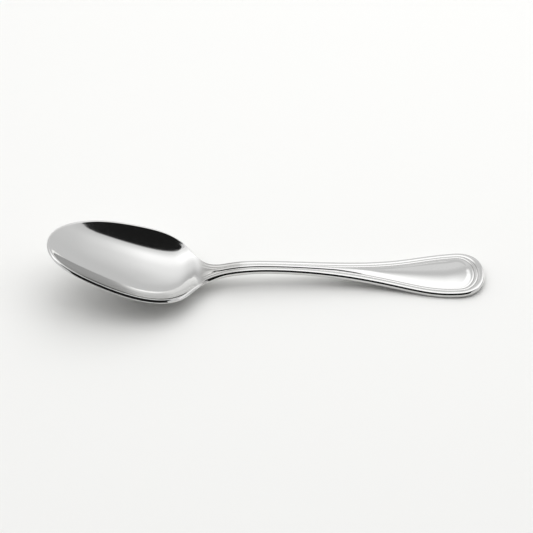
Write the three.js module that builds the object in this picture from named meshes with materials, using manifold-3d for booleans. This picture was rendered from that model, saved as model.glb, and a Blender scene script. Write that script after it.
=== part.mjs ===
// A teaspoon, forged in one from polished steel: an egg-shaped bowl, a thick bent neck, an arched stem
// and a flared handle whose edge carries a bead and a finer thread. It lies hollow side up on two small
// flats, one under the bowl and one under the handle.
// Millimetres, +Z up, +X from the bowl to the handle, origin on the table under the middle of the spoon.
// Inside this file x is counted from the tip of the bowl, and the group at the end shifts it to the origin.

import * as THREE from "three";
import { ParametricGeometry } from "three/addons/geometries/ParametricGeometry.js";
import { mergeVertices } from "three/addons/utils/BufferGeometryUtils.js";
import Module from "manifold-3d";

// Outline from above: places along the spoon and full widths
const LENGTH = 138;
const BOWL_WIDEST_AT = 29.2;
const BOWL_WIDTH = 33.2;
const NECK_AT = 56.3;
const NECK_WIDTH = 5.2;
const STEM_AT = 70.5;
const STEM_WIDTH = 4.8;
const HANDLE_WIDTH = 18.6;
const END_LENGTH = 8.7;

// Fullness of the outline: reach of each tangent as a share of the stretch that it shapes
const TIP_FULLNESS = 0.69;
const BOWL_FULLNESS = 0.394;
const NECK_SWEEP = 0.52;
const STEM_SWEEP = 0.674;
const FLARE_SWEEP = 0.264;
const HANDLE_FULLNESS = 0.65;
const END_FULLNESS = 0.6;

// Side view: heights of the upper edge above the table
const TIP_HEIGHT = 20.6;
const FRONT_HEIGHT = 16.3;
const RIM_HEIGHT = 10.95;
const HEEL_HEIGHT = 7.1;
const BEND_HEIGHT = 5.9;
const NECK_HEIGHT = 7.2;
const STEM_HEIGHT = 7.8;
const FLARE_HEIGHT = 4.3;
const FOOT_HEIGHT = 2;
const END_HEIGHT = 2.7;
const BEND_BEFORE_NECK = 7.9;
const FOOT_BEFORE_END = 16.5;

// Bowl: depth of the hollow under the rim, half the length of its run-out at the heel, its floor, and the
// land and lip around it. The rim is widest a little below its top.
const HOLLOW_DEPTH = 7.6;
const HEEL_LENGTH = 4.2;
const BOWL_FLOOR = 1.5;
const RIM_THICKNESS = 1.25;
const RIM_LAND = 0.9;
const RIM_ROUND = 0.62;
const RIM_DROP = 0.7;
const LIP_WIDTH = 1.9;

// How full a section of the bowl is, 1 for a parabola
const SECTION_FULLNESS = 1.3;

// Handle: its edge, which is also widest a little below its top
const EDGE_THICKNESS = 1.75;
const EDGE_ROUND = 0.42;
const EDGE_DROP = 0.36;

// How flat the rounding over the rim and the edge is, 0 for a quarter of an ellipse
const EDGE_BEVEL = 0.7;

// Border of the handle: a bead, a groove, a thread that closes up on the stem, and a crowned panel, which
// runs out as a ridge on the stem
const BEAD_WIDTH = 1.6;
const BEAD_CREST = 1.15;
const BEAD_FALL = 0.26;
const THREAD_WIDTH = 0.85;
const GROOVE_DEPTH = 0.26;
const THREAD_HEIGHT = 0.18;
const RIDGE_WIDTH = 1.35;
const RIDGE_HEIGHT = 0.38;
const PANEL_RISE = 0.14;
const PANEL_FOOT = 0.5;
const PANEL_CROWN = 1;
const CROWN_FOOT = 2.2;
const CROWN_BEFORE_END = 12.5;

// How much wider the border grows round the end, and how narrow the thread gets on the stem, as shares
const END_STRETCH = 0.35;
const LEAST_THREAD_SHARE = 0.15;

// Underside: how far the back swells below the edges, and how deep the resting flats are worn
const NECK_BELLY = 0.9;
const STEM_BELLY = 0.6;
const HANDLE_BELLY = 0.3;
const FLAT_DEPTH = 0.1;

// Section planes between the four regions, counted from the neck
const BOWL_END_BEFORE_NECK = 6.3;
const NECK_END_AFTER_NECK = 3.7;
const STEM_END_AFTER_NECK = 27.7;

// Smoothness: steps along each stretch of the outline, across a face and round an edge
const STRETCH_STEPS = [15, 15, 6, 20, 13];
const FACE_STEPS = 7;
const ROUND_STEPS = 3;

// Lines across a face: how far they fan out at both ends, as a share of the end's length, and how far in
// the rings may lie, as a share of a line
const FAN_SHARE = 0.75;
const RING_SHARE = 0.9;

const { clamp, lerp, smootherstep } = THREE.MathUtils;
const handleWidestAt = LENGTH - END_LENGTH;
const bendAt = NECK_AT - BEND_BEFORE_NECK;

// The outline on one side, drawn inset millimetres inside the edge, as five curves from tip to end
function outlineCurves(inset) {
  const bowl = BOWL_WIDTH / 2 - inset;
  const neck = NECK_WIDTH / 2 - inset;
  const stem = STEM_WIDTH / 2 - inset;
  const handle = HANDLE_WIDTH / 2 - inset;
  const front = BOWL_WIDEST_AT - inset;
  const back = NECK_AT - BOWL_WIDEST_AT;
  const taper = STEM_AT - NECK_AT;
  const flare = handleWidestAt - STEM_AT;
  const end = END_LENGTH - inset;
  // The curvature is the same on both sides of the widest place
  const reach = BOWL_FULLNESS * front;
  const backReach = reach * Math.sqrt((bowl - neck) / (bowl * (1 - TIP_FULLNESS)));
  const curve = (...points) => new THREE.CubicBezierCurve(...points.map(([x, y]) => new THREE.Vector2(x, y)));
  return [
    curve([inset, 0], [inset, TIP_FULLNESS * bowl], [BOWL_WIDEST_AT - reach, bowl], [BOWL_WIDEST_AT, bowl]),
    curve([BOWL_WIDEST_AT, bowl], [BOWL_WIDEST_AT + backReach, bowl], [NECK_AT - NECK_SWEEP * back, neck],
      [NECK_AT, neck]),
    curve([NECK_AT, neck], [NECK_AT + taper / 3, neck], [STEM_AT - taper / 3, stem], [STEM_AT, stem]),
    curve([STEM_AT, stem], [STEM_AT + STEM_SWEEP * flare, stem],
      [handleWidestAt - FLARE_SWEEP * flare, handle], [handleWidestAt, handle]),
    curve([handleWidestAt, handle], [handleWidestAt + HANDLE_FULLNESS * end, handle],
      [LENGTH - inset, END_FULLNESS * handle], [LENGTH - inset, 0]),
  ];
}

// Half the width of an outline at x, found on the curve that spans x
function halfWidth(curves, x) {
  const span = curves.find((curve) => x <= curve.v3.x);
  if (!span || x <= curves[0].v0.x) {
    return 0;
  }
  let low = 0;
  let high = 1;
  for (let step = 0; step < 40; step += 1) {
    const middle = (low + high) / 2;
    if (span.getPoint(middle).x < x) {
      low = middle;
    } else {
      high = middle;
    }
  }
  return span.getPoint(low).y;
}

// Direction of a curve, tip to end
function direction({ v0, v1, v2, v3 }, t) {
  return new THREE.Vector2()
    .addScaledVector(v1.clone().sub(v0), (1 - t) * (1 - t))
    .addScaledVector(v2.clone().sub(v1), 2 * t * (1 - t))
    .addScaledVector(v3.clone().sub(v2), t * t)
    .normalize();
}

// A natural cubic spline through [x, y] stations
function naturalSpline(stations) {
  const last = stations.length - 1;
  const gaps = stations.slice(1).map(([x], i) => x - stations[i][0]);
  const slopes = stations.slice(1).map(([, y], i) => (y - stations[i][1]) / gaps[i]);
  const bends = new Array(last + 1).fill(0);
  const upper = [0];
  const right = [0];
  for (let i = 1; i < last; i += 1) {
    const pivot = 2 * (gaps[i - 1] + gaps[i]) - gaps[i - 1] * upper[i - 1];
    upper.push(gaps[i] / pivot);
    right.push((6 * (slopes[i] - slopes[i - 1]) - gaps[i - 1] * right[i - 1]) / pivot);
  }
  for (let i = last - 1; i > 0; i -= 1) {
    bends[i] = right[i] - upper[i] * bends[i + 1];
  }
  return (x) => {
    const i = clamp(stations.findIndex(([at]) => x < at) - 1, 0, last - 1);
    const k = x >= stations[last][0] ? last - 1 : i;
    const t = x - stations[k][0];
    const first = slopes[k] - (gaps[k] * (2 * bends[k] + bends[k + 1])) / 6;
    const third = (bends[k + 1] - bends[k]) / (6 * gaps[k]);
    return stations[k][1] + t * (first + t * (bends[k] / 2 + t * third));
  };
}

const edgeOutline = outlineCurves(0);
const hollowOutline = outlineCurves(RIM_LAND);
const backOutline = outlineCurves(RIM_ROUND);
const edgeLine = naturalSpline([
  [0, TIP_HEIGHT],
  [BOWL_WIDEST_AT / 2, FRONT_HEIGHT],
  [BOWL_WIDEST_AT, RIM_HEIGHT],
  [(BOWL_WIDEST_AT + NECK_AT) / 2, HEEL_HEIGHT],
  [bendAt, BEND_HEIGHT],
  [NECK_AT, NECK_HEIGHT],
  [STEM_AT, STEM_HEIGHT],
  [(STEM_AT + handleWidestAt) / 2, FLARE_HEIGHT],
  [LENGTH - FOOT_BEFORE_END, FOOT_HEIGHT],
  [LENGTH, END_HEIGHT],
]);

// 0 in the bowl, 1 from the neck on
const handleShare = (x) => smootherstep(x, bendAt, NECK_AT);
// 0 in the bowl, 1 from a little before the neck on, where the border begins
const borderShare = (x) => smootherstep(x, bendAt - HEEL_LENGTH / 2, bendAt + HEEL_LENGTH);
const edgeThickness = (x) => lerp(RIM_THICKNESS, EDGE_THICKNESS, handleShare(x));
const edgeRound = (x) => lerp(RIM_ROUND, EDGE_ROUND, handleShare(x));

// How full the bowl is at a point: 0 on the given outline, 1 in the middle of the widest place
function bowlShare(curves, x, y) {
  const width = curves[0].v3.y;
  const share = clamp((halfWidth(curves, x) ** 2 - y * y) / (width * width), 0, 1);
  return 1 - (1 - share) ** SECTION_FULLNESS;
}

// Half the width of the handle, which counts as full as far as the end
const handleHalf = (x) => halfWidth(edgeOutline, Math.min(x, handleWidestAt));

// Width of the thread, which narrows on the stem to leave room for the ridge
function threadWidth(x) {
  const room = handleHalf(x) - BEAD_WIDTH - RIDGE_WIDTH / 2;
  return clamp(room, LEAST_THREAD_SHARE * THREAD_WIDTH, THREAD_WIDTH);
}

// Height of the border and the panel above the edge line, at a distance in from the edge
function border(distance, x, y) {
  if (distance < BEAD_CREST) {
    return -BEAD_FALL * (1 - distance / BEAD_CREST) ** 2;
  }
  if (distance < BEAD_WIDTH) {
    return (-GROOVE_DEPTH * (distance - BEAD_CREST)) / (BEAD_WIDTH - BEAD_CREST);
  }
  const thread = threadWidth(x);
  const inner = BEAD_WIDTH + thread;
  const panel = Math.max(handleHalf(x) - inner, RIDGE_WIDTH / 2);
  const onStem = 1 - smootherstep(panel, RIDGE_WIDTH / 2, 2 * RIDGE_WIDTH);
  const across = Math.min((2 * (distance - BEAD_WIDTH)) / thread - 1, 1);
  const rib = ((THREAD_HEIGHT * thread) / THREAD_WIDTH) * (1 - across * across);
  const rise = PANEL_RISE * smootherstep(distance, inner, inner + PANEL_FOOT) * (1 - onStem);
  const inward = clamp((2 * (distance - inner)) / RIDGE_WIDTH, 0, 1);
  const ridge = RIDGE_HEIGHT * onStem * inward * (2 - inward);
  const full = BEAD_WIDTH + THREAD_WIDTH;
  const fall = clamp((x + CROWN_BEFORE_END - LENGTH) / (CROWN_BEFORE_END - full * (1 + END_STRETCH)), 0, 1);
  const share = Math.max(0, 1 - (y / panel) ** 2) * (1 - fall * fall);
  const crown = ((PANEL_CROWN * panel) / (HANDLE_WIDTH / 2 - full)) * share;
  return rib + rise + ridge + crown * smootherstep(distance, inner, inner + CROWN_FOOT) - GROOVE_DEPTH;
}

// Height of the upper face over the edge line
function upper(x, y, distance) {
  const runOut = smootherstep(x, bendAt - HEEL_LENGTH, bendAt + HEEL_LENGTH);
  const hollow = HOLLOW_DEPTH * bowlShare(hollowOutline, x, y) * (1 - runOut);
  return borderShare(x) * border(distance, x, y) - hollow;
}

// Height of the back under the edge line
function lower(x, y) {
  const depth = HOLLOW_DEPTH + BOWL_FLOOR - RIM_THICKNESS;
  const neck = NECK_BELLY * smootherstep(x, BOWL_WIDEST_AT, NECK_AT);
  const stem = lerp(neck, STEM_BELLY, smootherstep(x, NECK_AT, STEM_AT));
  const belly = lerp(stem, HANDLE_BELLY, smootherstep(x, STEM_AT, handleWidestAt));
  const across = y / Math.max(halfWidth(edgeOutline, x), EDGE_ROUND);
  const swell = belly * Math.max(0, 1 - across * across);
  return -edgeThickness(x) - swell - depth * bowlShare(backOutline, x, y) * (1 - handleShare(x));
}

// The straight line to add to the heights, so that the bowl and the handle both reach the table
function restLine() {
  let base = 0;
  let tilt = 0;
  const lowest = (from, to) => {
    let found = { x: from, z: Infinity };
    for (let x = from; x <= to; x += 0.2) {
      const z = edgeLine(x) + lower(x, 0) + base + tilt * x;
      found = z < found.z ? { x, z } : found;
    }
    return found;
  };
  for (let turn = 0; turn < 12; turn += 1) {
    const bowl = lowest(BOWL_WIDEST_AT / 2, NECK_AT);
    const handle = lowest(STEM_AT, LENGTH - END_LENGTH / 2);
    const change = (bowl.z - handle.z) / (handle.x - bowl.x);
    tilt += change;
    base -= bowl.z + FLAT_DEPTH + change * bowl.x;
  }
  return (x) => base + tilt * x;
}

const rest = restLine();

// Distances in from the edge of the rings between the rounded edge and the open face
const bowlRings = [0, 0.2, 0.4, 0.7, 1].map((share) => RIM_LAND + share * LIP_WIDTH);
const handleRings = [BEAD_CREST, BEAD_WIDTH, BEAD_WIDTH + THREAD_WIDTH / 2, BEAD_WIDTH + THREAD_WIDTH,
  BEAD_WIDTH + THREAD_WIDTH + PANEL_FOOT];

// The same ring where the spoon is narrow: the bead keeps its width, and what lies inside it closes up
function fitRing(distance, thread, limit) {
  const inner = BEAD_WIDTH + thread;
  const foot = Math.min(PANEL_FOOT, limit - inner);
  if (distance <= BEAD_WIDTH) {
    return distance;
  }
  if (distance <= BEAD_WIDTH + THREAD_WIDTH) {
    return BEAD_WIDTH + ((distance - BEAD_WIDTH) * thread) / THREAD_WIDTH;
  }
  return inner + ((distance - BEAD_WIDTH - THREAD_WIDTH) * foot) / PANEL_FOOT;
}

const upperLevels = FACE_STEPS + handleRings.length;
const levels = upperLevels + 2 * ROUND_STEPS + FACE_STEPS;
const sideSteps = STRETCH_STEPS.reduce((sum, steps) => sum + steps, 0);

// A point of the closed skin: u runs round the outline from the tip, v from the ridge of the upper face
// over the edge to the ridge of the back
function skin(u, v, target) {
  const around = Math.round(u * 2 * sideSteps);
  const side = around > sideSteps ? -1 : 1;
  let step = side > 0 ? around : 2 * sideSteps - around;
  let stretch = 0;
  while (stretch < 4 && step > STRETCH_STEPS[stretch]) {
    step -= STRETCH_STEPS[stretch];
    stretch += 1;
  }
  const curve = edgeOutline[stretch];
  const edge = curve.getPoint(step / STRETCH_STEPS[stretch]);
  const tangent = direction(curve, step / STRETCH_STEPS[stretch]);
  const inward = new THREE.Vector2(tangent.y, -tangent.x);
  // The lines across the face meet the ridge square in the middle and fan out towards both ends
  const fromMiddle = (2 * edge.x) / LENGTH - 1;
  const ridge = new THREE.Vector2(edge.x - FAN_SHARE * END_LENGTH * fromMiddle ** 3, 0);
  const limit = RING_SHARE * edge.distanceTo(ridge);
  const inset = (distance) => edge.clone().addScaledVector(inward, distance);
  const level = Math.round(v * levels);
  const onHandle = handleShare(edge.x);
  const widening = 1 + END_STRETCH * smootherstep(edge.x, handleWidestAt, LENGTH);
  const round = Math.min(edgeRound(edge.x), limit / 2);
  let point;
  let height;
  if (level < upperLevels) {
    const thread = threadWidth(edge.x);
    const rings = bowlRings.map((distance, i) =>
      lerp(Math.min(distance, limit), fitRing(handleRings[i], thread, limit) * widening, onHandle));
    const ring = rings[Math.min(upperLevels - 1 - level, rings.length - 1)];
    point = inset(ring);
    let distance = ring;
    if (level < FACE_STEPS) {
      const across = level / FACE_STEPS;
      distance = lerp(edge.distanceTo(ridge), ring, across);
      point.lerpVectors(ridge, inset(ring), across);
    }
    height = upper(point.x, point.y, distance / widening);
  } else if (level <= upperLevels + 2 * ROUND_STEPS) {
    const angle = ((1 - (level - upperLevels) / ROUND_STEPS) * Math.PI) / 2;
    const bevel = angle > 0 ? 1 + EDGE_BEVEL : 1 - EDGE_BEVEL / 2;
    const rise = Math.abs(Math.sin(angle)) ** bevel;
    const ring = round * (1 - Math.max(Math.cos(angle), 0) ** bevel);
    const drop = lerp(RIM_DROP, EDGE_DROP, onHandle);
    point = inset(ring);
    const widest = drop + BEAD_FALL * borderShare(point.x);
    height = angle > 0
      ? borderShare(point.x) * border(ring / widening, point.x, point.y) - drop * (1 - rise)
      : -widest - (edgeThickness(edge.x) - widest) * rise;
  } else {
    const across = (level - upperLevels - 2 * ROUND_STEPS) / FACE_STEPS;
    point = inset(round).lerp(ridge, across);
    height = lower(point.x, point.y);
  }
  target.set(point.x, side * point.y, edgeLine(point.x) + rest(point.x) + height);
}

const wasm = await Module();
wasm.setup();

// A closed geometry as a solid that can be cut
function solid(geometry) {
  geometry.deleteAttribute("normal");
  geometry.deleteAttribute("uv");
  const merged = mergeVertices(geometry, 1e-4);
  return new wasm.Manifold(new wasm.Mesh({
    numProp: 3,
    vertProperties: merged.attributes.position.array,
    triVerts: new Uint32Array(merged.index.array),
  }));
}

// The block of space between two sections of the spoon, standing on the table
function block(from, to) {
  const size = new THREE.Vector3(to - from, 2 * BOWL_WIDTH + HANDLE_WIDTH, LENGTH);
  const box = new THREE.BoxGeometry(size.x, size.y, size.z);
  return solid(box.translate(from + size.x / 2, 0, size.z / 2));
}

// The part of the forging between two sections, as a mesh of its own
function region(name, from, to) {
  const cut = forging.intersect(block(from, to)).getMesh();
  const geometry = new THREE.BufferGeometry();
  geometry.setAttribute("position", new THREE.BufferAttribute(new Float32Array(cut.vertProperties), 3));
  geometry.setIndex(new THREE.BufferAttribute(new Uint32Array(cut.triVerts), 1));
  const material = new THREE.MeshStandardMaterial({ color: 0xcfd1d3, roughness: 0.1, metalness: 1 });
  const mesh = new THREE.Mesh(geometry, material);
  mesh.name = name;
  return mesh;
}

const forging = solid(new ParametricGeometry(skin, 2 * sideSteps, levels));
const bowlEnd = NECK_AT - BOWL_END_BEFORE_NECK;
const neckEnd = NECK_AT + NECK_END_AFTER_NECK;
const stemEnd = NECK_AT + STEM_END_AFTER_NECK;

const teaspoon = new THREE.Group();
teaspoon.add(region("bowl", -END_LENGTH, bowlEnd));
teaspoon.add(region("neck", bowlEnd, neckEnd));
teaspoon.add(region("stem", neckEnd, stemEnd));
teaspoon.add(region("handle", stemEnd, LENGTH + END_LENGTH));
teaspoon.position.x = -LENGTH / 2;

export default teaspoon;
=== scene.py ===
"""A polished steel teaspoon, lying hollow side up on a pale studio floor."""

import math

import bmesh
import bpy
import numpy as np
from mathutils import Matrix, Vector


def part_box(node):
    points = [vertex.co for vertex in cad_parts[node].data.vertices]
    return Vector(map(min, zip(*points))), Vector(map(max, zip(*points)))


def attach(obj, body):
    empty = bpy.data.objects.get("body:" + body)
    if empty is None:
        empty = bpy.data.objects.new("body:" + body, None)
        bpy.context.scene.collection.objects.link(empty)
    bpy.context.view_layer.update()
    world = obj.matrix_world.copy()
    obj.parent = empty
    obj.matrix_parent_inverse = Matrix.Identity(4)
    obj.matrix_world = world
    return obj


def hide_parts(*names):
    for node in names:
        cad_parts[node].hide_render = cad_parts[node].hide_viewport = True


bl_info = {
    "name": "Teaspoon",
    "version": (1, 0, 0),
    "blender": (4, 5, 0),
    "location": "View3D > Sidebar > Teaspoon",
    "description": "Forges a teaspoon, cuts it into its regions and sets it on a studio floor",
    "category": "Add Mesh",
}

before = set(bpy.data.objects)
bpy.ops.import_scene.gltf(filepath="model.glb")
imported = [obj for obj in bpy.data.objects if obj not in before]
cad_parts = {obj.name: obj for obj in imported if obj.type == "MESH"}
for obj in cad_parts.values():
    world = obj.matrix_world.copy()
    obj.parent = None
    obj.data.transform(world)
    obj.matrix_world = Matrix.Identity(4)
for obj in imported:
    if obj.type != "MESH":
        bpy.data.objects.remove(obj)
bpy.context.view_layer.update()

UP = (0, 0, 1)
DOWN = (0, 0, -1)

# Shares of the form, which stay the same at any size
SECTION_FULLNESS = 1.3
LEAST_THREAD_SHARE = 0.15
FAN_SHARE = 0.75
RING_SHARE = 0.9
HOLLOW_SOFTNESS = 0.02

# Steps of the skin, from the tip along the edge and from the middle over the edge to the back
OUTLINE_STEPS = 4000
STRETCH_STEPS = (70, 70, 26, 110, 60)
FACE_STEPS = 26
BEAD_RINGS = 9
THREAD_RINGS = 9
FOOT_RINGS = 6
ROUND_STEPS = 6
GROOVE_GAP = 0.04e-3
MERGE_DISTANCE = 2e-7
CUT_DISTANCE = 1e-8

# Search for the two resting places
SETTLE_STEP = 0.2e-3
SETTLE_TURNS = 12

# Share of the studio's light that is lost where the steel mirrors it a second time
SECOND_LOSS = 0.36

# The black card, counted in heights of the scrim
CARD_FRONT = -0.45
CARD_ROUND = 0.05
CARD_CORNERS = (
    (-0.42, 0),
    (0.33, 0),
    (0.52, 0.37),
    (0.93, 0.655),
    (1.06, 0.775),
    (1.14, 0.83),
    (1.23, 0.95),
    (1.25, 1.1),
    (1.17, 1.18),
    (1.04, 1.175),
    (0.8, 1.13),
    (0.4, 1.05),
    (0, 1.02),
    (-0.5, 1.035),
    (-0.82, 0.99),
    (-0.96, 0.86),
    (-0.9, 0.76),
    (-0.46, 0.48),
)


def millimetres(name, description, default):
    """A length property with its default in millimetres."""
    return bpy.props.FloatProperty(
        name=name,
        description=description,
        default=default / 1000,
        unit="LENGTH",
        precision=5,
    )


def share(name, description, default):
    """A property between 0 and 1."""
    return bpy.props.FloatProperty(
        name=name,
        description=description,
        default=default,
        min=0.0,
        max=1.0,
        subtype="FACTOR",
    )


def tint(name, description, default):
    """A colour property in linear light."""
    return bpy.props.FloatVectorProperty(
        name=name,
        description=description,
        default=default,
        size=3,
        min=0.0,
        max=1.0,
        subtype="COLOR",
    )


class TeaspoonForm(bpy.types.PropertyGroup):
    """Sizes of the forging. Places along the spoon are counted from the tip of the bowl."""

    length: millimetres("Length", "Tip of the bowl to end of the handle", 138)
    bowl_widest_at: millimetres("Bowl widest at", "Where the bowl is widest", 29.2)
    bowl_width: millimetres("Bowl width", "Full width of the bowl", 33.2)
    neck_at: millimetres("Neck at", "Where the bowl has run into the stem", 56.3)
    neck_width: millimetres("Neck width", "Full width of the neck", 5.2)
    stem_at: millimetres("Stem at", "Where the stem is slimmest", 70.5)
    stem_width: millimetres("Stem width", "Full width of the stem", 4.8)
    handle_width: millimetres("Handle width", "Full width of the handle", 18.6)
    end_length: millimetres("End length", "Widest place of the handle to its end", 8.7)

    tip_fullness: share("Tip fullness", "How blunt the tip of the bowl is", 0.69)
    bowl_fullness: share("Bowl fullness", "How long the bowl stays wide", 0.394)
    neck_sweep: share("Neck sweep", "How gently the bowl runs into the neck", 0.52)
    stem_sweep: share("Stem sweep", "How long the stem stays slim", 0.674)
    flare_sweep: share("Flare sweep", "How long the handle stays wide", 0.264)
    handle_fullness: share("Handle fullness", "How square the handle's corners are", 0.65)
    end_fullness: share("End fullness", "How blunt the end of the handle is", 0.6)

    tip_height: millimetres("Tip height", "Height of the edge at the tip", 20.6)
    front_height: millimetres("Front height", "Height of the rim in front of the middle", 16.3)
    rim_height: millimetres("Rim height", "Height of the rim at the widest place", 10.95)
    heel_height: millimetres("Heel height", "Height of the rim behind the middle", 7.1)
    bend_height: millimetres("Bend height", "Height of the edge in the bend of the neck", 5.9)
    neck_height: millimetres("Neck height", "Height of the edge at the neck", 7.2)
    stem_height: millimetres("Stem height", "Height of the edge on the stem", 7.8)
    flare_height: millimetres("Flare height", "Height of the edge on the flare", 4.3)
    foot_height: millimetres("Foot height", "Height of the edge over the handle's flat", 2.0)
    end_height: millimetres("End height", "Height of the edge at the end", 2.7)
    bend_before_neck: millimetres("Bend before neck", "How far the bend lies before the neck", 7.9)
    foot_before_end: millimetres("Foot before end", "How far the flat lies before the end", 16.5)

    hollow_depth: millimetres("Hollow depth", "Depth of the bowl under its rim", 7.6)
    bowl_floor: millimetres("Bowl floor", "Thickness of the bowl in its middle", 1.5)
    rim_thickness: millimetres("Rim thickness", "Thickness of the bowl at its rim", 1.25)
    rim_land: millimetres("Rim land", "Edge of the bowl to the hollow", 0.9)
    lip_width: millimetres("Lip width", "Width of the hollow's lip, which follows the rim", 1.9)
    rim_round: millimetres("Rim round", "Rounding of the rim", 0.62)
    rim_drop: millimetres("Rim drop", "How far down the rim is widest", 0.70)
    heel_length: millimetres("Heel length", "Half the length over which the hollow runs out", 4.2)

    edge_thickness: millimetres("Edge thickness", "Thickness of the handle at its edge", 1.75)
    edge_round: millimetres("Edge round", "Rounding of the handle's edge", 0.42)
    edge_drop: millimetres("Edge drop", "How far down the handle's edge is widest", 0.36)
    edge_bevel: share("Edge bevel", "How flat the rounding over the edge is", 0.7)
    bead_width: millimetres("Bead width", "Edge to the first groove", 1.6)
    bead_crest: millimetres("Bead crest", "Edge to the crest of the bead", 1.15)
    bead_fall: millimetres("Bead fall", "Fall of the bead from its crest to the edge", 0.26)
    thread_width: millimetres("Thread width", "First groove to the second", 0.85)
    end_stretch: share("End stretch", "How much wider the border grows round the end", 0.35)
    groove_depth: millimetres("Groove depth", "Depth of the grooves under the bead", 0.26)
    # How far the painted shade of a groove reaches beside it; the same reach adds roughness there.
    groove_shade_reach: millimetres("Groove film", "How far polish is left beside a groove", 0.17)
    thread_height: millimetres("Thread height", "Height of the thread over its grooves", 0.18)
    ridge_width: millimetres("Ridge width", "Width of the stem's ridge between its grooves", 1.35)
    ridge_height: millimetres("Ridge height", "Height of the stem's ridge over its grooves", 0.38)
    panel_rise: millimetres("Panel rise", "Height of the panel over the groove", 0.14)
    panel_foot: millimetres("Panel foot", "Width of the slope up to the panel", 0.5)
    panel_crown: millimetres("Panel crown", "Rise of the panel where it is widest", 1.0)
    crown_foot: millimetres("Crown foot", "Width over which the panel's crown begins", 2.2)
    crown_before_end: millimetres("Crown before end", "Where the panel's crown begins to fall", 12.5)

    neck_belly: millimetres("Neck belly", "Swell of the back at the neck", 0.9)
    stem_belly: millimetres("Stem belly", "Swell of the back of the stem", 0.6)
    handle_belly: millimetres("Handle belly", "Swell of the back of the handle", 0.3)
    flat_depth: millimetres("Flat depth", "Depth of the worn resting flats", 0.1)


class TeaspoonFinish(bpy.types.PropertyGroup):
    """Finish of the polished steel, with painted shade on the back, in the neck and in the grooves."""

    bright: tint("Bright steel", "Colour of freshly polished steel", (0.88, 0.88, 0.873))
    dull: tint("Dull steel", "Colour of steel under handling film", (0.84, 0.84, 0.83))
    # Painted shade: the back and the lower half of the edge are darkened to stand in for the shaded
    # floor that they mirror.
    back: tint("Back", "Colour of the steel on the back, which is less polished", (0.62, 0.62, 0.613))
    # Painted shade: the neck is darkened to stand in for the dimmer light that it mirrors.
    neck: tint("Neck", "Colour of the less polished steel in the neck", (0.66, 0.655, 0.64))
    # Painted shade: the grooves are darkened to stand in for the dark lines that they mirror.
    groove: tint("Groove", "Colour of the polish left in the grooves", (0.3, 0.29, 0.28))
    # How strongly the painted shade darkens the grooves.
    groove_shade_share: share("Groove stain", "How much the polish covers the steel of a groove", 0.6)
    polish: share("Polish", "Roughness of the clean mirror finish", 0.05)
    film_roughness: share("Film roughness", "Roughness that handling film adds", 0.04)
    groove_roughness: share("Groove roughness", "Roughness that the polish left in a groove adds", 0.15)


class TeaspoonStage(bpy.types.PropertyGroup):
    """The floor, the lights and the camera."""

    floor: tint("Floor", "Colour of the floor", (0.86, 0.86, 0.846))
    floor_gap: millimetres("Floor gap", "How far the floor lies under the spoon", 0.02)
    scrim_height: millimetres("Scrim height", "Height of the overhead scrim", 600)
    camera_turn: bpy.props.FloatProperty(
        name="Camera turn",
        description="How far the camera stands round towards the handle",
        default=math.radians(-2.06),
        subtype="ANGLE",
    )
    camera_rise: bpy.props.FloatProperty(
        name="Camera rise",
        description="How far the camera looks down",
        default=math.radians(45),
        subtype="ANGLE",
    )
    camera_distance: millimetres("Camera distance", "Camera to the middle of the spoon", 600)
    aim_height: millimetres("Aim height", "Height over the floor that the camera aims at", 4)
    aim_left: millimetres("Aim left", "How far left of the middle the camera aims", 0.607)
    aim_up: millimetres("Aim up", "How far up in the picture the camera aims", 2.275)
    lens: bpy.props.FloatProperty(
        name="Lens",
        description="Focal length of the camera",
        default=127.6,
        unit="CAMERA",
    )


def mix(low, high, part):
    """A value on the way from low to high."""
    return low + (high - low) * part


def ease(x, low, high):
    """0 up to low, 1 from high on, with no jump in slope or bend between."""
    part = np.clip((x - low) / (high - low), 0, 1)
    return part**3 * (part * (6 * part - 15) + 10)


def curve_point(curve, t):
    """Points of a cubic curve through its four control points."""
    t = np.asarray(t, float)[:, None]
    a, b, c, d = curve
    return (1 - t) ** 3 * a + 3 * t * (1 - t) ** 2 * b + 3 * t**2 * (1 - t) * c + t**3 * d


def curve_direction(curve, t):
    """Unit directions of a cubic curve."""
    t = np.asarray(t, float)[:, None]
    a, b, c, d = curve
    way = (1 - t) ** 2 * (b - a) + 2 * t * (1 - t) * (c - b) + t**2 * (d - c)
    return way / np.linalg.norm(way, axis=1)[:, None]


def natural_spline(stations):
    """A natural cubic spline through (x, height) stations."""
    x, y = np.array(stations, float).T
    gap = np.diff(x)
    incline = np.diff(y) / gap
    system = np.eye(len(x))
    right = np.zeros(len(x))
    for i in range(1, len(x) - 1):
        system[i, i - 1 : i + 2] = gap[i - 1], 2 * (gap[i - 1] + gap[i]), gap[i]
        right[i] = 6 * (incline[i] - incline[i - 1])
    bend = np.linalg.solve(system, right)

    def height(at):
        k = np.clip(np.searchsorted(x, at, side="right") - 1, 0, len(gap) - 1)
        t = at - x[k]
        first = incline[k] - gap[k] * (2 * bend[k] + bend[k + 1]) / 6
        return y[k] + t * (first + t * (bend[k] / 2 + t * (bend[k + 1] - bend[k]) / (6 * gap[k])))

    return height


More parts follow.
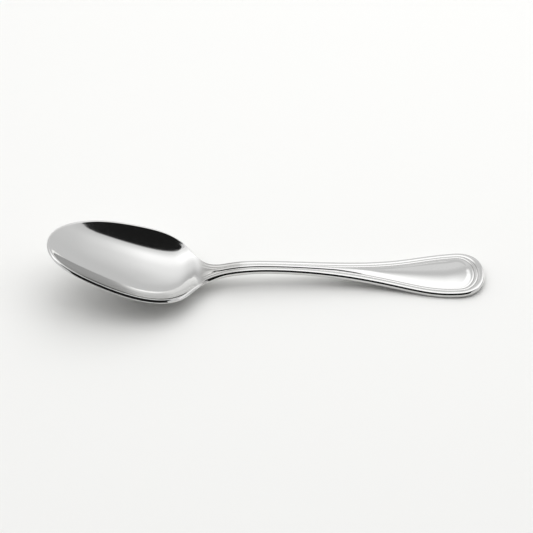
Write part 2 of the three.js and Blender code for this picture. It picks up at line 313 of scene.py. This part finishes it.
class Outline:
    """One side of the spoon seen from above, drawn a little inside its edge."""

    def __init__(self, s, inset):
        bowl, neck, stem, handle = (
            width / 2 - inset
            for width in (s.bowl_width, s.neck_width, s.stem_width, s.handle_width)
        )
        wide = s.length - s.end_length
        back = s.neck_at - s.bowl_widest_at
        taper = (s.stem_at - s.neck_at) / 3
        flare = wide - s.stem_at
        end = s.end_length - inset
        reach = s.bowl_fullness * (s.bowl_widest_at - inset)
        back_reach = reach * math.sqrt((bowl - neck) / (bowl * (1 - s.tip_fullness)))
        stretches = (
            ((inset, 0), (inset, s.tip_fullness * bowl),
             (s.bowl_widest_at - reach, bowl), (s.bowl_widest_at, bowl)),
            ((s.bowl_widest_at, bowl), (s.bowl_widest_at + back_reach, bowl),
             (s.neck_at - s.neck_sweep * back, neck), (s.neck_at, neck)),
            ((s.neck_at, neck), (s.neck_at + taper, neck), (s.stem_at - taper, stem), (s.stem_at, stem)),
            ((s.stem_at, stem), (s.stem_at + s.stem_sweep * flare, stem),
             (wide - s.flare_sweep * flare, handle), (wide, handle)),
            ((wide, handle), (wide + s.handle_fullness * end, handle),
             (s.length - inset, s.end_fullness * handle), (s.length - inset, 0)),
        )
        self.curves = [np.array(stretch) for stretch in stretches]
        self.widest = bowl
        fine = np.linspace(0, 1, OUTLINE_STEPS)
        self.x, self.y = np.vstack([curve_point(curve, fine) for curve in self.curves]).T

    def half(self, x):
        """Half the width at x."""
        return np.interp(x, self.x, self.y, left=0, right=0)


class Forging:
    """The spoon's faces as heights over the table."""

    def __init__(self, s):
        self.s = s
        self.edge_outline = Outline(s, 0)
        self.hollow_outline = Outline(s, s.rim_land)
        self.back_outline = Outline(s, s.rim_round)
        self.wide = s.length - s.end_length
        self.bend_at = s.neck_at - s.bend_before_neck
        self.line = natural_spline([
            (0, s.tip_height),
            (s.bowl_widest_at / 2, s.front_height),
            (s.bowl_widest_at, s.rim_height),
            ((s.bowl_widest_at + s.neck_at) / 2, s.heel_height),
            (self.bend_at, s.bend_height),
            (s.neck_at, s.neck_height),
            (s.stem_at, s.stem_height),
            ((s.stem_at + self.wide) / 2, s.flare_height),
            (s.length - s.foot_before_end, s.foot_height),
            (s.length, s.end_height),
        ])
        self.base = 0.0
        self.tilt = 0.0
        self.settle()

    def handle_share(self, x):
        """0 in the bowl, 1 from the neck on."""
        return ease(x, self.bend_at, self.s.neck_at)

    def border_share(self, x):
        """0 in the bowl, 1 from a little before the neck on, where the border begins."""
        return ease(x, self.bend_at - self.s.heel_length / 2, self.bend_at + self.s.heel_length)

    def thickness(self, x):
        """Thickness of the edge."""
        return mix(self.s.rim_thickness, self.s.edge_thickness, self.handle_share(x))

    def rounding(self, x):
        """Rounding of the edge."""
        return mix(self.s.rim_round, self.s.edge_round, self.handle_share(x))

    def edge(self, x):
        """Height of the upper edge over the table."""
        return self.line(x) + self.base + self.tilt * x

    def fill(self, outline, x, y, softness):
        """0 outside the bowl's outline, 1 in the middle of the widest place."""
        part = (outline.half(x) ** 2 - y**2) / outline.widest**2
        part = np.minimum((part + np.sqrt(part**2 + softness**2)) / 2, 1)
        return 1 - (1 - part) ** SECTION_FULLNESS

    def thread(self, x):
        """Width of the thread, which narrows on the stem to leave room for the ridge."""
        s = self.s
        half = self.edge_outline.half(np.minimum(x, self.wide))
        room = half - s.bead_width - s.ridge_width / 2
        return np.clip(room, LEAST_THREAD_SHARE * s.thread_width, s.thread_width)

    def border(self, distance, x, y):
        """Height of the bead, the thread and the panel over the edge."""
        s = self.s
        thread = self.thread(x)
        inner = s.bead_width + thread
        half = self.edge_outline.half(np.minimum(x, self.wide))
        panel = np.maximum(half - inner, s.ridge_width / 2)
        on_stem = 1 - ease(panel, s.ridge_width / 2, 2 * s.ridge_width)
        outside = np.maximum(s.bead_crest - distance, 0) / s.bead_crest
        inside = np.maximum(distance - s.bead_crest, 0) / (s.bead_width - s.bead_crest)
        bead = -s.bead_fall * outside**2 - s.groove_depth * inside
        across = np.clip(2 * (distance - s.bead_width) / thread - 1, -1, 1)
        rib = s.thread_height * thread / s.thread_width * (1 - across**2)
        rise = s.panel_rise * ease(distance, inner, inner + s.panel_foot) * (1 - on_stem)
        inward = np.clip(2 * (distance - inner) / s.ridge_width, 0, 1)
        ridge = s.ridge_height * on_stem * inward * (2 - inward)
        border = s.bead_width + s.thread_width
        fall_length = s.crown_before_end - border * (1 + s.end_stretch)
        fall = np.clip((x + s.crown_before_end - s.length) / fall_length, 0, 1)
        crest = s.panel_crown * panel / (s.handle_width / 2 - border) * (1 - fall**2)
        crown = crest * np.maximum(0, 1 - (y / panel) ** 2) * ease(distance, inner, inner + s.crown_foot)
        return np.where(distance < s.bead_width, bead, rib + rise + ridge + crown - s.groove_depth)

    def upper(self, x, y, distance):
        """Height of the upper face over the edge."""
        s = self.s
        run_out = ease(x, self.bend_at - s.heel_length, self.bend_at + s.heel_length)
        fill = self.fill(self.hollow_outline, x, y, HOLLOW_SOFTNESS)
        hollow = s.hollow_depth * fill * (1 - run_out)
        return self.border_share(x) * self.border(distance, x, y) - hollow

    def lower(self, x, y):
        """Height of the back over the edge."""
        s = self.s
        depth = s.hollow_depth + s.bowl_floor - s.rim_thickness
        neck = s.neck_belly * ease(x, s.bowl_widest_at, s.neck_at)
        stem = mix(neck, s.stem_belly, ease(x, s.neck_at, s.stem_at))
        belly = mix(stem, s.handle_belly, ease(x, s.stem_at, self.wide))
        across = y / np.maximum(self.edge_outline.half(x), s.edge_round)
        swell = belly * np.maximum(0, 1 - across**2)
        bowl = depth * self.fill(self.back_outline, x, y, 0.0) * (1 - self.handle_share(x))
        return -self.thickness(x) - swell - bowl

    def settle(self):
        """Tilt the spoon until bowl and handle both reach the table."""
        s = self.s
        bowl = np.arange(s.bowl_widest_at / 2, s.neck_at, SETTLE_STEP)
        handle = np.arange(s.stem_at, s.length - s.end_length / 2, SETTLE_STEP)
        for _ in range(SETTLE_TURNS):
            lowest = []
            for x in (bowl, handle):
                z = self.edge(x) + self.lower(x, 0 * x)
                lowest.append((x[z.argmin()], z.min()))
            (bowl_x, bowl_z), (handle_x, handle_z) = lowest
            change = (bowl_z - handle_z) / (handle_x - bowl_x)
            self.tilt += change
            self.base -= bowl_z + s.flat_depth + change * bowl_x


def ring_distances(s):
    """Distances in from the edge of the rings of the upper face, in the bowl and on the handle."""
    inner = s.bead_width + s.thread_width
    bead = np.linspace(s.edge_round, s.bead_width - GROOVE_GAP, BEAD_RINGS)[1:]
    thread = np.linspace(s.bead_width + GROOVE_GAP, inner - GROOVE_GAP, THREAD_RINGS)
    foot = np.linspace(inner + GROOVE_GAP, inner + s.panel_foot, FOOT_RINGS)
    handle = np.concatenate([bead, [s.bead_width], thread, [inner], foot])
    lip = np.linspace(s.rim_round, s.rim_land + s.lip_width, len(handle) + 1)[1:]
    return lip, handle


def fit_ring(s, distance, thread, limit):
    """A ring of the handle where the thread or the panel is narrower than on the handle."""
    inner = s.bead_width + thread
    foot = np.minimum(s.panel_foot, limit - inner)
    if distance <= s.bead_width:
        return distance + 0 * thread
    if distance <= s.bead_width + s.thread_width:
        return s.bead_width + (distance - s.bead_width) * thread / s.thread_width
    return inner + (distance - s.bead_width - s.thread_width) * foot / s.panel_foot


def skin_rows(forging):
    """Rows of points from the ridge of the upper face over the edge to the ridge of the back."""
    s = forging.s
    stretches = list(zip(forging.edge_outline.curves, STRETCH_STEPS))
    steps = [np.arange(count) / count for _, count in stretches]
    steps[-1] = np.append(steps[-1], 1)
    edge = np.vstack([curve_point(curve, t) for (curve, _), t in zip(stretches, steps)])
    way = np.vstack([curve_direction(curve, t) for (curve, _), t in zip(stretches, steps)])
    inward = np.column_stack([way[:, 1], -way[:, 0]])
    edge[[0, -1], 1] = 0
    inward[[0, -1], 1] = 0
    from_middle = 2 * edge[:, 0] / s.length - 1
    ridge = np.column_stack([edge[:, 0] - FAN_SHARE * s.end_length * from_middle**3, 0 * from_middle])
    reach = np.linalg.norm(edge - ridge, axis=1)
    limit = RING_SHARE * reach
    on_handle = forging.handle_share(edge[:, 0])
    stretch = 1 + s.end_stretch * ease(edge[:, 0], forging.wide, s.length)
    rounding = np.minimum(forging.rounding(edge[:, 0]), limit / 2)
    thickness = forging.thickness(edge[:, 0])
    drop = mix(s.rim_drop, s.edge_drop, on_handle)
    thread = forging.thread(edge[:, 0])
    lip, border = ring_distances(s)
    rows = []

    def inset(distance):
        return edge + inward * np.asarray(distance)[:, None]

    def add(points, height):
        z = forging.edge(points[:, 0]) + height
        rows.append(np.column_stack([points, z]))

    rings = [
        mix(np.minimum(bowl, limit), fit_ring(s, handle, thread, limit) * stretch, on_handle)
        for bowl, handle in zip(lip, border)
    ]
    inner = inset(rings[-1])
    for part in np.linspace(0, 1, FACE_STEPS + 1)[:-1]:
        points = mix(ridge, inner, part)
        add(points, forging.upper(points[:, 0], points[:, 1], mix(reach, rings[-1], part) / stretch))
    for ring in reversed(rings):
        points = inset(ring)
        add(points, forging.upper(points[:, 0], points[:, 1], ring / stretch))
    for angle in np.linspace(0.5, -0.5, 2 * ROUND_STEPS + 1) * math.pi:
        bevel = 1 + s.edge_bevel if angle > 0 else 1 - s.edge_bevel / 2
        part = abs(math.sin(angle)) ** bevel
        ring = rounding * (1 - max(math.cos(angle), 0) ** bevel)
        points = inset(ring)
        if angle > 0:
            bead = forging.border(ring / stretch, points[:, 0], points[:, 1])
            add(points, forging.border_share(points[:, 0]) * bead - drop * (1 - part))
        else:
            widest = drop + s.bead_fall * forging.border_share(points[:, 0])
            add(points, -widest - (thickness - widest) * part)
    outer = inset(rounding)
    for part in np.linspace(0, 1, FACE_STEPS + 1)[1:]:
        points = mix(outer, ridge, part)
        add(points, forging.lower(points[:, 0], points[:, 1]))
    rows = np.array(rows)
    rows[:, :, 0] -= s.length / 2
    return rows


class Signal:
    """A shader socket that can be used in sums."""

    def __init__(self, tree, socket=None):
        self.tree = tree
        self.socket = socket

    def node(self, kind, settings, sockets, output=0):
        """Add a node with its settings and the values or links of its sockets."""
        added = self.tree.nodes.new(kind)
        for name, value in settings.items():
            setattr(added, name, value)
        for name, value in sockets.items():
            if isinstance(value, Signal):
                self.tree.links.new(value.socket, added.inputs[name])
            else:
                added.inputs[name].default_value = value
        return Signal(self.tree, added.outputs[output] if added.outputs else None)

    def sum(self, operation, first, second):
        """Add a Math node."""
        return self.node("ShaderNodeMath", {"operation": operation}, {0: first, 1: second})

    def __add__(self, other):
        return self.sum("ADD", self, other)

    def __radd__(self, other):
        return self.sum("ADD", other, self)

    def __sub__(self, other):
        return self.sum("SUBTRACT", self, other)

    def __rsub__(self, other):
        return self.sum("SUBTRACT", other, self)

    def __mul__(self, other):
        return self.sum("MULTIPLY", self, other)

    def __rmul__(self, other):
        return self.sum("MULTIPLY", other, self)


def new_material(name):
    """An empty node material and the start of its graph."""
    material = bpy.data.materials.new(name)
    material.use_nodes = True
    material.node_tree.nodes.clear()
    return material, Signal(material.node_tree)


def polished_steel(finish):
    """Mirror-polished steel with faint polishing lines and handling film, and painted shade on the back,
    in the neck and in the grooves.
    """
    material = bpy.data.materials.get("mirror_steel")
    if material:
        return material
    material, graph = new_material("mirror_steel")
    place = graph.node("ShaderNodeTexCoord", {}, {}, "Object")
    along = graph.node("ShaderNodeMapping", {}, {"Vector": place, "Scale": (30, 1600, 1600)})
    lines = graph.node("ShaderNodeTexNoise", {}, {"Vector": along, "Scale": 1.0, "Detail": 3.0})
    film_and_groove_shade = graph.node("ShaderNodeTexNoise", {}, {"Vector": place, "Scale": 55.0, "Detail": 4.0})
    # Masks of the painted shade in the grooves, on the back and in the neck.
    groove = graph.node("ShaderNodeAttribute", {"attribute_name": "groove"}, {}, "Fac")
    back = graph.node("ShaderNodeAttribute", {"attribute_name": "back"}, {}, "Fac")
    neck = graph.node("ShaderNodeAttribute", {"attribute_name": "neck"}, {}, "Fac")
    colour = graph.node(
        "ShaderNodeMix",
        {"data_type": "RGBA"},
        {"Factor": film_and_groove_shade, 6: (*finish.bright, 1), 7: (*finish.dull, 1)},
        2,
    )
    # Painted shade on the back, in the neck and in the grooves, standing in for the darker light that
    # these places mirror.
    painted_groove_shade = groove * finish.groove_shade_share
    for amount, shade in ((back, finish.back), (neck, finish.neck), (painted_groove_shade, finish.groove)):
        colour = graph.node(
            "ShaderNodeMix",
            {"data_type": "RGBA"},
            {"Factor": amount, 6: colour, 7: (*shade, 1)},
            2,
        )
    roughness = finish.polish + film_and_groove_shade * finish.film_roughness + groove * finish.groove_roughness
    bump = graph.node(
        "ShaderNodeBump",
        {},
        {"Height": lines, "Strength": 0.02, "Distance": 0.00002},
    )
    shader = graph.node(
        "ShaderNodeBsdfPrincipled",
        {},
        {
            "Base Color": colour,
            "Metallic": 1.0,
            "Roughness": roughness,
            "Normal": bump,
        },
    )
    graph.node("ShaderNodeOutputMaterial", {}, {"Surface": shader})
    return material


def plain(name, colour, roughness):
    """A plain matt stage material."""
    material, graph = new_material(name)
    shader = graph.node(
        "ShaderNodeBsdfPrincipled",
        {},
        {"Base Color": (*colour, 1), "Roughness": roughness, "Specular IOR Level": 0.0},
    )
    graph.node("ShaderNodeOutputMaterial", {}, {"Surface": shader})
    return material


def glowing(name, strength):
    """A stage surface of even brightness."""
    material, graph = new_material(name)
    shader = graph.node("ShaderNodeEmission", {}, {"Strength": strength})
    graph.node("ShaderNodeOutputMaterial", {}, {"Surface": shader})
    return material


def add_object(name, mesh, material):
    """Link a mesh into the scene."""
    mesh.materials.append(material)
    piece = bpy.data.objects.new(name, mesh)
    bpy.context.scene.collection.objects.link(piece)
    return piece


def trim(bm, place, normal):
    """Cut away what lies on the normal's side of a plane, and close the cut."""
    geometry = bm.verts[:] + bm.edges[:] + bm.faces[:]
    cut = bmesh.ops.bisect_plane(
        bm,
        geom=geometry,
        dist=CUT_DISTANCE,
        plane_co=place,
        plane_no=normal,
        clear_outer=True,
    )
    edges = [item for item in cut["geom_cut"] if isinstance(item, bmesh.types.BMEdge)]
    if edges:
        bmesh.ops.holes_fill(bm, edges=edges, sides=0)


def cut_region(context, name, low, high):
    """Cut the region between two places out of the forging, down to the table."""
    blank = bpy.data.meshes.get("forging_blank")
    if blank is None:
        raise RuntimeError("forge the blank before cutting " + name)
    bm = bmesh.new()
    bm.from_mesh(blank)
    if low is not None:
        trim(bm, (low, 0, 0), (-1, 0, 0))
    if high is not None:
        trim(bm, (high, 0, 0), (1, 0, 0))
    trim(bm, (0, 0, 0), DOWN)
    mesh = bpy.data.meshes.new(name)
    bm.to_mesh(mesh)
    bm.free()
    polish = mesh.attributes["polish"].data
    normals = []
    for face in mesh.polygons:
        for corner in face.loop_indices:
            smooth = Vector(polish[mesh.loops[corner].vertex_index].vector)
            normals.append(smooth.normalized() if face.use_smooth else face.normal.copy())
    mesh.normals_split_custom_set(normals)
    mesh.attributes.remove(mesh.attributes["polish"])
    piece = add_object(name, mesh, polished_steel(context.scene.teaspoon_finish))
    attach(piece, "root")
    return piece


class TEASPOON_OT_forge(bpy.types.Operator):
    """Form the whole spoon as one closed skin"""

    bl_idname = "teaspoon.forge"
    bl_label = "Forge the blank"

    def execute(self, context):
        s = context.scene.teaspoon_form
        forging = Forging(s)
        rows = skin_rows(forging)
        levels = len(rows) - 1
        side = rows.shape[1] - 1
        bm = bmesh.new()
        bmesh.ops.create_grid(bm, x_segments=2 * side, y_segments=levels, size=1)
        # Masks of painted shade, in the grooves, on the back and in the neck.
        groove = bm.verts.layers.float.new("groove")
        back = bm.verts.layers.float.new("back")
        neck = bm.verts.layers.float.new("neck")
        _, border = ring_distances(s)
        outermost = FACE_STEPS + len(border) - 1
        widest = outermost + 1 + ROUND_STEPS
        grooves = (s.bead_width, s.bead_width + s.thread_width)
        apart = np.min([abs(border - groove_at) for groove_at in grooves], axis=0)
        # Painted groove shade, fading out beside each groove.
        film_and_groove_shade = np.clip(1 - apart / s.groove_shade_reach, 0, 1)
        for vert in bm.verts:
            around = round((vert.co.x + 1) * side)
            level = round((vert.co.y + 1) * levels / 2)
            step = around if around <= side else 2 * side - around
            x, y, z = rows[level, step]
            vert.co = (x, y if around <= side else -y, z)
            # Painted shade on the back, from the widest place of the edge down.
            vert[back] = float(level >= widest)
            # Painted shade in the neck, from the bend to a little past the neck.
            along = x + s.length / 2
            begun = ease(along, forging.bend_at - s.heel_length / 2, forging.bend_at)
            ended = ease(along, s.neck_at, s.neck_at + 2 * s.heel_length)
            vert[neck] = float(begun * (1 - ended))
            # Painted groove shade, which also roughens the grooves, on the handle's border only.
            if FACE_STEPS <= level <= outermost:
                vert[groove] = float(film_and_groove_shade[outermost - level] * forging.handle_share(along))
        bmesh.ops.remove_doubles(bm, verts=bm.verts[:], dist=MERGE_DISTANCE)
        bmesh.ops.recalc_face_normals(bm, faces=bm.faces[:])
        polish = bm.verts.layers.float_vector.new("polish")
        bm.normal_update()
        for vert in bm.verts:
            vert[polish] = vert.normal
        for face in bm.faces:
            face.smooth = True
        mesh = bpy.data.meshes.new("forging_blank")
        bm.to_mesh(mesh)
        bm.free()
        return {"FINISHED"}


class TEASPOON_OT_bowl(bpy.types.Operator):
    """Cut the bowl out of the blank"""

    bl_idname = "teaspoon.bowl"
    bl_label = "Bowl"

    def execute(self, context):
        _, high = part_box("bowl")
        piece = cut_region(context, "bowl_shell", None, high[0])
        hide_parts("bowl")
        return {"FINISHED"}


class TEASPOON_OT_neck(bpy.types.Operator):
    """Cut the neck out of the blank"""

    bl_idname = "teaspoon.neck"
    bl_label = "Neck"

    def execute(self, context):
        low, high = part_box("neck")
        piece = cut_region(context, "neck_bend", low[0], high[0])
        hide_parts("neck")
        return {"FINISHED"}


class TEASPOON_OT_stem(bpy.types.Operator):
    """Cut the stem out of the blank"""

    bl_idname = "teaspoon.stem"
    bl_label = "Stem"

    def execute(self, context):
        low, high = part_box("stem")
        piece = cut_region(context, "stem_shank", low[0], high[0])
        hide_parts("stem")
        return {"FINISHED"}


class TEASPOON_OT_handle(bpy.types.Operator):
    """Cut the handle out of the blank"""

    bl_idname = "teaspoon.handle"
    bl_label = "Handle"

    def execute(self, context):
        low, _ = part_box("handle")
        piece = cut_region(context, "handle_spatula", low[0], None)
        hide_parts("handle")
        bpy.data.meshes.remove(bpy.data.meshes["forging_blank"])
        return {"FINISHED"}


def stage_plane(name, width, depth, place, normal, material):
    """A flat stage surface that faces along its normal."""
    bm = bmesh.new()
    bmesh.ops.create_grid(bm, x_segments=1, y_segments=1, size=0.5)
    turn = Vector(normal).to_track_quat("Z", "Y").to_matrix().to_4x4()
    spread = Matrix.Diagonal((width, depth, 1, 1))
    bmesh.ops.transform(bm, matrix=Matrix.Translation(place) @ turn @ spread, verts=bm.verts[:])
    mesh = bpy.data.meshes.new(name)
    bm.to_mesh(mesh)
    bm.free()
    surface = add_object(name, mesh, material)
    return surface


def reflection_only(surface):
    """Let a stage surface show in the steel and throw no light or shadow."""
    surface.visible_camera = False
    surface.visible_diffuse = False
    surface.visible_shadow = False
    surface.visible_transmission = False


def shine_on(surface, pieces):
    """Let a glowing stage surface show in some pieces only."""
    reflection_only(surface)
    lit = bpy.data.collections.new("lit_by_" + surface.name)
    for piece in pieces:
        lit.objects.link(bpy.data.objects[piece])
    surface.light_linking.receiver_collection = lit


def shell(name, radius, paper, background):
    """A glowing globe round the stage, seen as the background or in the steel."""
    bm = bmesh.new()
    bmesh.ops.create_icosphere(bm, subdivisions=4, radius=radius)
    bmesh.ops.reverse_faces(bm, faces=bm.faces[:])
    mesh = bpy.data.meshes.new(name)
    bm.to_mesh(mesh)
    bm.free()
    globe = add_object(name, mesh, paper)
    reflection_only(globe)
    globe.visible_camera = background
    globe.visible_glossy = not background


def add_softbox(name, width, depth, place, target, watts):
    """A soft rectangular lamp that shines at a point."""
    lamp = bpy.data.lights.new(name, "AREA")
    lamp.shape = "RECTANGLE"
    lamp.size = width
    lamp.size_y = depth
    lamp.energy = watts
    light = bpy.data.objects.new(name, lamp)
    light.location = place
    light.rotation_euler = (Vector(place) - Vector(target)).to_track_quat("Z", "Y").to_euler()
    light.visible_camera = False
    bpy.context.scene.collection.objects.link(light)
    return light


def slope(graph, value, low, high, start, end):
    """A smooth way from start to end as the value goes from low to high."""
    sockets = {"Value": value, "From Min": low, "From Max": high, "To Min": start, "To Max": end}
    return graph.node("ShaderNodeMapRange", {"interpolation_type": "SMOOTHSTEP"}, sockets)


def ground_place(graph, height):
    """Place over the floor, counted in heights of a stage surface."""
    place = graph.node("ShaderNodeTexCoord", {}, {}, "Object")
    parts = graph.node("ShaderNodeSeparateXYZ", {}, {"Vector": place})
    x, y = (Signal(graph.tree, parts.socket.node.outputs[axis]) for axis in "XY")
    return x * (1 / height), y * (1 / height)


def mirrored_again(graph):
    """0 for light that the steel mirrors once, 1 for light that it mirrors twice or more."""
    depth = graph.node("ShaderNodeLightPath", {}, {}, "Glossy Depth")
    return slope(graph, depth, 1.0, 2.0, 0.0, 1.0)


def surround_glow(strength):
    """The walls of the studio, which are dimmer in light that is mirrored twice."""
    material, graph = new_material("surround_paper")
    kept = 1 - mirrored_again(graph) * SECOND_LOSS
    shader = graph.node("ShaderNodeEmission", {}, {"Strength": strength * kept})
    graph.node("ShaderNodeOutputMaterial", {}, {"Surface": shader})
    return material


def scrim_glow(height):
    """The overhead scrim, a little dimmer to the left, and to the right in light mirrored twice."""
    material, graph = new_material("scrim_cloth")
    x, _ = ground_place(graph, height)
    glow = slope(graph, x, -2.0, -0.6, 0.493, 0.594)
    kept = 1 - mirrored_again(graph) * slope(graph, x, 0.3, 0.9, 0.0, SECOND_LOSS)
    shader = graph.node("ShaderNodeEmission", {}, {"Strength": glow * kept})
    graph.node("ShaderNodeOutputMaterial", {}, {"Surface": shader})
    return material


def added_glow(name, light_at, height):
    """Light on a clear sheet, which adds to what lies behind it."""
    material, graph = new_material(name)
    x, y = ground_place(graph, height)
    light = graph.node("ShaderNodeEmission", {}, {"Strength": light_at(graph, x, y)})
    clear = graph.node("ShaderNodeBsdfTransparent", {}, {})
    shader = graph.node("ShaderNodeAddShader", {}, {0: light, 1: clear})
    graph.node("ShaderNodeOutputMaterial", {}, {"Surface": shader})
    return material


def bowl_light(graph, x, y):
    """A bright strip over the bowl, which fades to the back and the sides.

    Where the steel mirrors it a second time it is a narrow line.
    """
    sides = slope(graph, x, 0.3, 1.5, 1.0, 0.1) * slope(graph, x, -2.6, -1.6, 0.0, 1.0)
    spread = slope(graph, y, 0.0, 1.7, 0.5, 0.0) * slope(graph, y, -0.5, -0.15, 0.3, 1.0)
    strip = slope(graph, y, -0.42, -0.12, 0.0, 1.0) * slope(graph, y, -0.12, 0.3, 1.0, 0.0)
    corner = slope(graph, x, -1.2, -0.3, 0.3, 0.0) * slope(graph, y, -0.1, 0.5, 1.0, 0.0)
    middle = slope(graph, x, -0.25, 0.0, 0.0, 1.0) * slope(graph, x, 0.1, 0.6, 1.0, 0.0)
    line = slope(graph, y, 0.15, 0.4, 1.2, -0.6) * middle - slope(graph, x, 0.4, 0.7, 0.0, 0.7)
    once = (spread + strip * 0.25 + corner) * sides * 0.73
    return once * (1 + mirrored_again(graph) * line)


def handle_light(graph, x, y):
    """A white strip over the handle, and a faint glow behind it."""
    ends = slope(graph, x, 1.6, 2.6, 1.0, 0.0) * slope(graph, x, -1.2, -0.6, 0.0, 1.0)
    turned = y - slope(graph, x, 0.1, 1.4, 0.0, 1.0)
    band = slope(graph, turned, 0.3, 0.78, 1.0, 0.0) * slope(graph, y, -0.5, -0.3, 0.0, 1.0)
    return band * ends * 0.62 + slope(graph, turned, 0.85, 1.2, 0.0, 0.13)


def rim_light(_graph, _x, _y):
    """An even light, which shows in the bowl's rim near the neck."""
    return 0.3


def studio_fill(strength):
    """Soft light on the floor from above, behind and the sides, and little from the front."""
    world = bpy.data.worlds.new("studio_fill")
    world.use_nodes = True
    world.node_tree.nodes.clear()
    graph = Signal(world.node_tree)
    toward = graph.node("ShaderNodeTexCoord", {}, {}, "Generated")
    backward = graph.node("ShaderNodeSeparateXYZ", {}, {"Vector": toward}, "Y")
    glow = slope(graph, backward, -0.6, -0.3, 0.06, strength)
    light = graph.node("ShaderNodeBackground", {}, {"Color": (1, 1, 1, 1), "Strength": glow})
    graph.node("ShaderNodeOutputWorld", {}, {"Surface": light})
    return world


def front_card(height, front):
    """A black card between the camera and the spoon, which shows in the steel."""
    bm = bmesh.new()
    corners = [bm.verts.new((x * height, front, z * height)) for x, z in CARD_CORNERS]
    bmesh.ops.contextual_create(bm, geom=corners)
    bmesh.ops.bevel(
        bm,
        geom=bm.verts[:],
        offset=CARD_ROUND * height,
        affect="VERTICES",
        segments=4,
        profile=0.5,
        material=-1,
    )
    mesh = bpy.data.meshes.new("front_card")
    bm.to_mesh(mesh)
    bm.free()
    card = add_object("front_card", mesh, glowing("black_cloth", strength=0.01))
    return card


class TEASPOON_OT_stage(bpy.types.Operator):
    """Set the floor, the lights and the camera"""

    bl_idname = "teaspoon.stage"
    bl_label = "Studio"

    def execute(self, context):
        s = context.scene.teaspoon_stage
        scene = context.scene
        paper = plain("floor_paper", s.floor, roughness=0.9)
        stage_plane("floor", 8, 8, place=(0, 0, -s.floor_gap), normal=UP, material=paper)

        paper = glowing("backdrop_paper", strength=0.93)
        shell("surround", radius=3.5, paper=surround_glow(strength=0.6), background=False)
        shell("backdrop", radius=3.4, paper=paper, background=True)

        height = s.scrim_height
        front = CARD_FRONT * height
        depth = 3.2 * height
        place = (0, front + depth / 2, height)
        scrim = stage_plane("scrim", 4 * height, depth, place, DOWN, scrim_glow(height))
        reflection_only(scrim)
        reflection_only(front_card(height, front))

        for name, light, level, pieces in (
            ("bowl_strip", bowl_light, 0.55, ("bowl_shell", "neck_bend")),
            ("handle_strip", handle_light, 0.3, ("stem_shank", "handle_spatula")),
        ):
            cloth = added_glow(name + "_light", light, level)
            place = (0, 0.8 * level, level)
            shine_on(stage_plane(name, 6 * level, 2.6 * level, place, DOWN, cloth), pieces)

        cloth = added_glow("side_card_light", rim_light, height)
        place = (1.2, 0.02, 0.35)
        card = stage_plane("side_card", 0.7, 0.3, place, normal=(-1, 0, 0), material=cloth)
        shine_on(card, ("bowl_shell", "neck_bend"))

        for name, width, depth, place, watts in (
            ("softbox", 1.33, 0.36, (0.03, 0.02, 0.6), 1.95),
            ("back_box", 0.5, 0.5, (0.1, 0.42, 0.5), 0.95),
        ):
            light = add_softbox(name, width, depth, place, (place[0], place[1], 0), watts)
            light.visible_glossy = False

        scene.world = studio_fill(strength=0.83)
        scene.view_settings.view_transform = "Standard"

        back = Vector((
            math.sin(s.camera_turn) * math.cos(s.camera_rise),
            -math.cos(s.camera_turn) * math.cos(s.camera_rise),
            math.sin(s.camera_rise),
        ))
        right = Vector(UP).cross(back).normalized()
        up = back.cross(right)
        aim = Vector((0, 0, s.aim_height)) - right * s.aim_left + up * s.aim_up
        lens = bpy.data.cameras.new("camera")
        lens.lens = s.lens
        lens.sensor_width = 36
        lens.clip_start = 0.01
        camera = bpy.data.objects.new("camera", lens)
        camera.location = aim + back * s.camera_distance
        camera.rotation_euler = back.to_track_quat("Z", "Y").to_euler()
        scene.collection.objects.link(camera)
        scene.camera = camera
        return {"FINISHED"}


STEPS = (
    TEASPOON_OT_forge,
    TEASPOON_OT_bowl,
    TEASPOON_OT_neck,
    TEASPOON_OT_stem,
    TEASPOON_OT_handle,
    TEASPOON_OT_stage,
)


class TEASPOON_PT_sidebar(bpy.types.Panel):
    """Steps that make the teaspoon, in order"""

    bl_idname = "TEASPOON_PT_sidebar"
    bl_label = "Teaspoon"
    bl_space_type = "VIEW_3D"
    bl_region_type = "UI"
    bl_category = "Teaspoon"

    def draw(self, context):
        for step in STEPS:
            self.layout.operator(step.bl_idname)


CLASSES = (TeaspoonForm, TeaspoonFinish, TeaspoonStage, *STEPS, TEASPOON_PT_sidebar)


def register():
    """Add the classes and the scene's settings."""
    for item in CLASSES:
        bpy.utils.register_class(item)
    bpy.types.Scene.teaspoon_form = bpy.props.PointerProperty(type=TeaspoonForm)
    bpy.types.Scene.teaspoon_finish = bpy.props.PointerProperty(type=TeaspoonFinish)
    bpy.types.Scene.teaspoon_stage = bpy.props.PointerProperty(type=TeaspoonStage)


def unregister():
    """Remove the scene's settings and the classes."""
    del bpy.types.Scene.teaspoon_stage
    del bpy.types.Scene.teaspoon_finish
    del bpy.types.Scene.teaspoon_form
    for item in reversed(CLASSES):
        bpy.utils.unregister_class(item)


def main():
    """Make the spoon and its stage."""
    register()
    bpy.ops.teaspoon.forge()
    bpy.ops.teaspoon.bowl()
    bpy.ops.teaspoon.neck()
    bpy.ops.teaspoon.stem()
    bpy.ops.teaspoon.handle()
    bpy.ops.teaspoon.stage()


if __name__ == "__main__":
    main()
